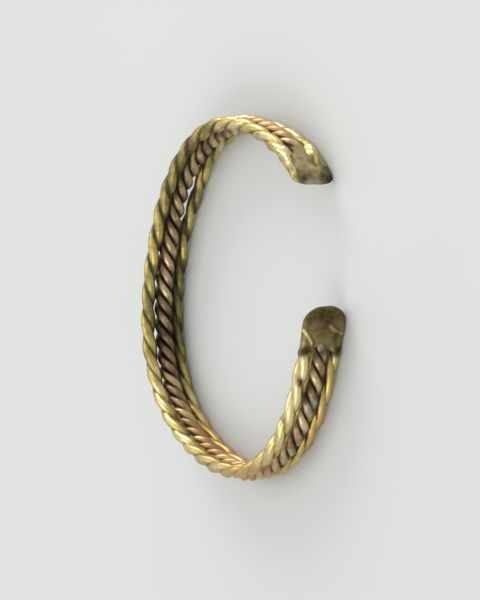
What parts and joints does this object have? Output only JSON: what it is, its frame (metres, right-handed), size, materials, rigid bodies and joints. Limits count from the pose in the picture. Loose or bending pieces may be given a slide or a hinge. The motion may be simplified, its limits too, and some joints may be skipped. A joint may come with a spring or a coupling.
{
  "type": "open twisted wire hoop earring",
  "caption": "Open hoop earring of twisted wire: brass ropes along both edges, a darker rope between them and hammered flat ends; it is squeezed onto the ear.",
  "frame": {"origin": "middle of the side that the hoop lies on", "axes": "+Z along the hoop's axis, +X from the middle of the hoop out through its mouth"},
  "size_m": [0.0276, 0.029, 0.0036],
  "materials": {
    "aged_brass": "aged, tarnished dark in the twists and rubbed bright on the crests",
    "dark_copper": "darkened copper, satin",
    "pale_metal": "tarnished nickel silver, satin"
  },
  "bodies": {
    "root": {"brass_frame": "aged_brass", "copper_strand_a": "dark_copper", "copper_strand_b": "dark_copper", "pale_strand": "pale_metal"}
  },
  "joints": []
}
